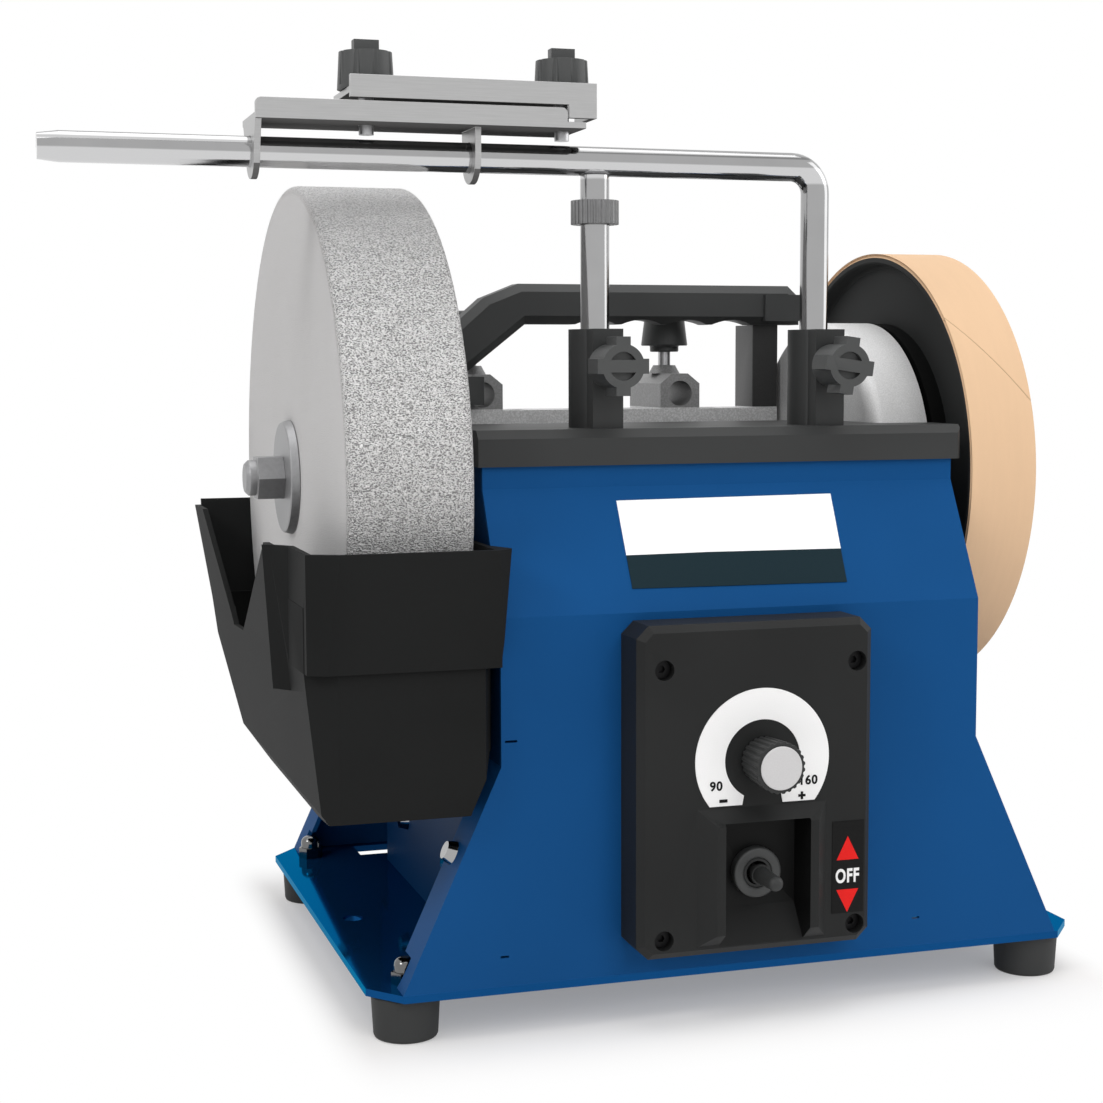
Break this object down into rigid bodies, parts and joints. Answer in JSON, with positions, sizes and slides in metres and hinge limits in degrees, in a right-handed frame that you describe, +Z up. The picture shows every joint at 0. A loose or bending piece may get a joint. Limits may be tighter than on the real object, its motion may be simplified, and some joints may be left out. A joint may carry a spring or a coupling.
{
  "type": "wet sharpening machine",
  "caption": "Variable-speed wet sharpening machine with a large grindstone in a water trough, a leather honing wheel and a height-adjustable tool support with a sliding jig.",
  "frame": {"origin": "middle of the whole box seen from above, on the bench that the feet stand on", "axes": "+X along the shaft from the grindstone to the honing wheel, -Y to the front with the controls, +Z up"},
  "size_m": [0.4338, 0.312, 0.3927],
  "materials": {
    "blue_paint": "satin powder coat",
    "black_plastic": "fine grained",
    "box_plastic": "fine grained",
    "trough_plastic": "fine grained",
    "bright_steel": "turned or plated",
    "bright_chrome": "polished",
    "jig_steel": "satin",
    "cast_aluminium": "fine cast, lightly machined",
    "bush_bronze": "sintered",
    "grey_stone": "coarse grain on the tread, smooth sides",
    "tan_leather": "raw, slightly worn",
    "foot_rubber": "moulded",
    "motor_paint": "satin",
    "board_green": "laminate",
    "white_print": "printed",
    "grey_cap": "smooth"
  },
  "bodies": {
    "housing": {"base_plate": "blue_paint", "front_panel": "blue_paint", "rear_panel": "blue_paint", "left_side_panel": "blue_paint", "right_side_panel": "blue_paint", "feet": "foot_rubber", "foot_nuts": "bright_chrome", "panel_screws": "bright_chrome", "top_cover": "black_plastic", "rear_sleeve_casting": "cast_aluminium", "casting_screws": "bright_steel", "handle": "black_plastic", "handle_screws": "bright_steel", "cable_gland": "black_plastic", "trough_hanger": "bright_steel", "shaft_bushes": "bush_bronze", "pivot_pin": "bright_steel", "press_spring": "bright_steel", "control_box": "box_plastic", "control_box_screws": "bright_steel", "control_board": "board_green", "dial_ring": "white_print", "potentiometer": "motor_paint", "toggle_body": "black_plastic", "toggle_collar": "foot_rubber"},
    "spindle": {"main_shaft": "bright_steel", "grindstone": "grey_stone", "stone_inner_flange": "bright_steel", "stone_outer_flange": "bright_steel", "stone_lock_nut": "bright_chrome", "drive_drum": "cast_aluminium", "honing_wheel": "black_plastic", "leather_strop": "tan_leather", "honing_knob": "black_plastic"},
    "motor": {"motor_housing": "motor_paint", "motor_screws": "bright_steel", "motor_bracket": "bright_steel"},
    "rotor": {"motor_shaft": "bright_steel", "drive_roller": "foot_rubber"},
    "support": {"support_bar": "bright_chrome", "support_leg": "bright_chrome"},
    "micro_adjuster": {"adjust_nut": "bright_steel"},
    "left_star": {"left_star_knob": "black_plastic"},
    "right_star": {"right_star_knob": "black_plastic"},
    "left_rear_clamp": {"left_rear_knob": "black_plastic", "left_rear_stud": "bright_steel"},
    "right_rear_clamp": {"right_rear_knob": "black_plastic", "right_rear_stud": "bright_steel"},
    "jig": {"jig_base": "jig_steel"},
    "jig_clamp": {"jig_clamp_plate": "jig_steel"},
    "jig_left_hand_screw": {"jig_left_knob": "black_plastic", "jig_left_screw": "bright_steel"},
    "jig_right_hand_screw": {"jig_right_knob": "black_plastic", "jig_right_screw": "bright_steel"},
    "speed_control": {"speed_knob": "black_plastic", "speed_knob_cap": "grey_cap", "potentiometer_shaft": "bright_steel"},
    "toggle": {"toggle_lever": "black_plastic"},
    "trough": {"water_trough": "trough_plastic"}
  },
  "joints": [
    {"name": "spindle_spin", "type": "hinge", "parent": "housing", "child": "spindle", "pos_m": [0.0552, 0.00758, 0.217], "axis": [1, 0, 0], "continuous": true},
    {"name": "motor_swing", "type": "hinge", "parent": "housing", "child": "motor", "pos_m": [0.0552, 0.08758, 0.1027], "axis": [1, 0, 0], "range_deg": [0, 2], "stiffness_Nm_per_rad": 60, "springref_deg": -6.88, "deforming": ["press_spring"]},
    {"name": "motor_spin", "type": "hinge", "parent": "motor", "child": "rotor", "pos_m": [0.0552, 0.00758, 0.1423], "axis": [1, 0, 0], "continuous": true},
    {"name": "support_lift", "type": "slide", "parent": "housing", "child": "support", "axis": [0, 0, 1], "range_m": [-0.008, 0.04]},
    {"name": "micro_adjuster_turn", "type": "hinge", "parent": "support", "child": "micro_adjuster", "pos_m": [0.00497, -0.06842, 0.3228], "axis": [0, 0, 1], "continuous": true},
    {"name": "left_star_turn", "type": "hinge", "parent": "housing", "child": "left_star", "pos_m": [0.00497, -0.06842, 0.2648], "axis": [0, 1, 0], "range_deg": [-180, 180]},
    {"name": "right_star_turn", "type": "hinge", "parent": "housing", "child": "right_star", "pos_m": [0.10377, -0.06842, 0.2648], "axis": [0, 1, 0], "range_deg": [-180, 180]},
    {"name": "left_rear_clamp_turn", "type": "hinge", "parent": "housing", "child": "left_rear_clamp", "pos_m": [-0.01305, 0.06558, 0.2745], "axis": [0, 0, 1], "range_deg": [-180, 180]},
    {"name": "right_rear_clamp_turn", "type": "hinge", "parent": "housing", "child": "right_rear_clamp", "pos_m": [0.08575, 0.06558, 0.2745], "axis": [0, 0, 1], "range_deg": [-180, 180]},
    {"name": "jig_slide", "type": "slide", "parent": "support", "child": "jig", "axis": [1, 0, 0], "range_m": [-0.07, 0.035]},
    {"name": "jig_clamp_slide", "type": "slide", "parent": "jig", "child": "jig_clamp", "axis": [0, 0, 1], "range_m": [-0.001, 0]},
    {"name": "jig_left_screw_turn", "type": "hinge", "parent": "jig", "child": "jig_left_hand_screw", "pos_m": [-0.09065, -0.06992, 0.3684], "axis": [0, 0, 1], "range_deg": [-180, 180]},
    {"name": "jig_right_screw_turn", "type": "hinge", "parent": "jig", "child": "jig_right_hand_screw", "pos_m": [-0.00975, -0.06992, 0.3684], "axis": [0, 0, 1], "range_deg": [-180, 180]},
    {"name": "speed_knob_turn", "type": "hinge", "parent": "housing", "child": "speed_control", "pos_m": [0.0518, -0.13692, 0.1098], "axis": [0, 1, 0], "range_deg": [-135, 135]},
    {"name": "toggle_tilt", "type": "hinge", "parent": "housing", "child": "toggle", "pos_m": [0.0522, -0.12192, 0.0627], "axis": [1, 0, 0], "range_deg": [-12, 12]},
    {"name": "trough_lift", "type": "slide", "parent": "housing", "child": "trough", "axis": [0, 0, 1], "range_m": [0, 0.005]}
  ],
  "couplings": [
    {"joint": "motor_spin", "follows": "spindle_spin", "ratio": -9.6429}
  ]
}
